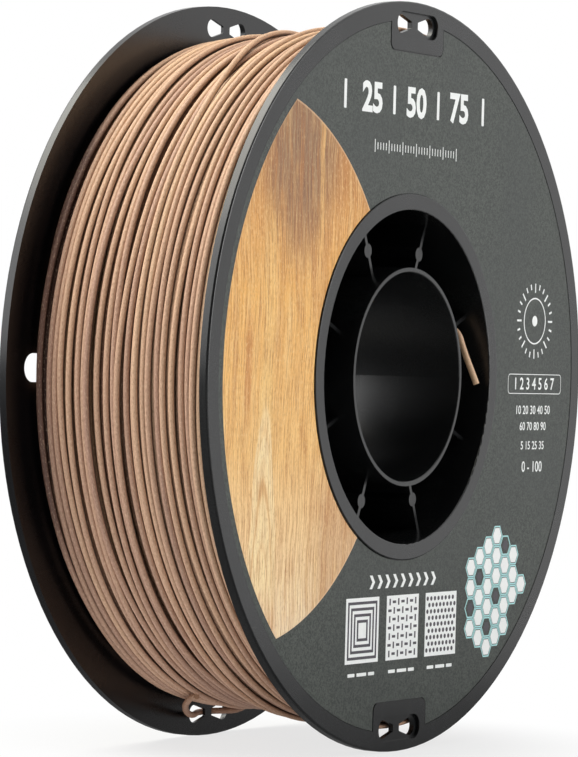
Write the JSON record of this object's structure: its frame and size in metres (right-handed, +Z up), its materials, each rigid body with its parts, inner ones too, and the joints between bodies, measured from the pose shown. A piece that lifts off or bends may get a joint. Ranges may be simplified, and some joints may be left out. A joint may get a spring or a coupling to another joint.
{
  "type": "filament spool",
  "caption": "Flat-hubbed plastic spool in two snapped halves, with a printed ring label, wound with wood-coloured filament whose end is threaded through the rear rim clip.",
  "frame": {"origin": "centre of the spindle bore, at mid-width between the flanges", "axes": "+Y along the bore from the labelled front to the rear, +Z up through the upper clip, +X to the right seen from the front"},
  "size_m": [0.2, 0.0636, 0.2],
  "materials": {
    "moulding": "moulded black-grey plastic with a fine texture",
    "label": "satin printed sticker, dark green-grey with a wood-grain print",
    "filament": "matt, slightly fibrous wood-filled filament"
  },
  "bodies": {
    "root": {"front_half": "moulding", "rear_half": "moulding", "front_label": "label", "filament_core": "filament", "filament_outer_layer": "filament", "filament_loose_end": "filament", "filament_start_end": "filament"}
  },
  "joints": []
}
